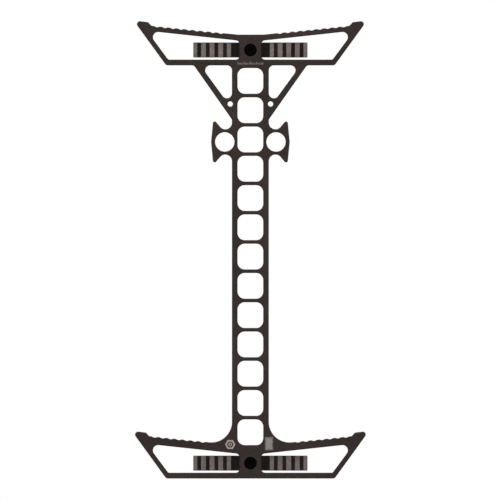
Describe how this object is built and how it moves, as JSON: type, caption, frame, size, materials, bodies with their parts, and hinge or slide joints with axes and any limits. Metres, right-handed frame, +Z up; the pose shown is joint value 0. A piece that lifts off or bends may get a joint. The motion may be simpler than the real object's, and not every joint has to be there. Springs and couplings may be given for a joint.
{
  "type": "climbing stick section",
  "caption": "Machined plate climbing stick for a tree, with scalloped steps, rope-cleat ears and toothed V standoffs that swivel.",
  "frame": {"origin": "on the plane of the rearmost tooth tips, on the post's centre line, midway between the pivots", "axes": "+X along the steps to the climber's right, +Y towards the tree, +Z up the post"},
  "size_m": [0.2428, 0.0762, 0.4811],
  "materials": {
    "plate_anodised": "satin dark bronze anodise on machined plate",
    "bracket_anodised": "satin grey-bronze anodise on machined bar",
    "screw_steel": "black oxide",
    "zinc_steel": "dark zinc plating",
    "bush_polymer": "moulded black acetal",
    "insert_nylon": "natural nylon"
  },
  "bodies": {
    "frame_body": {"stick_frame": "plate_anodised", "upper_pivot_screw": "screw_steel", "upper_spring_washer": "zinc_steel", "upper_flat_washer": "zinc_steel", "upper_lock_nut": "zinc_steel", "upper_nut_insert": "insert_nylon", "lower_pivot_screw": "screw_steel", "lower_spring_washer": "zinc_steel", "lower_flat_washer": "zinc_steel", "lower_lock_nut": "zinc_steel", "lower_nut_insert": "insert_nylon"},
    "upper_swivel": {"upper_standoff": "bracket_anodised", "upper_front_bush": "bush_polymer", "upper_rear_bush": "bush_polymer"},
    "lower_swivel": {"lower_standoff": "bracket_anodised", "lower_front_bush": "bush_polymer", "lower_rear_bush": "bush_polymer"}
  },
  "joints": [
    {"name": "upper_standoff_swivel", "type": "hinge", "parent": "frame_body", "child": "upper_swivel", "pos_m": [0, -0.0625, 0.2173], "axis": [0, 1, 0], "continuous": true},
    {"name": "lower_standoff_swivel", "type": "hinge", "parent": "frame_body", "child": "lower_swivel", "pos_m": [0, -0.0625, -0.2173], "axis": [0, 1, 0], "continuous": true}
  ]
}
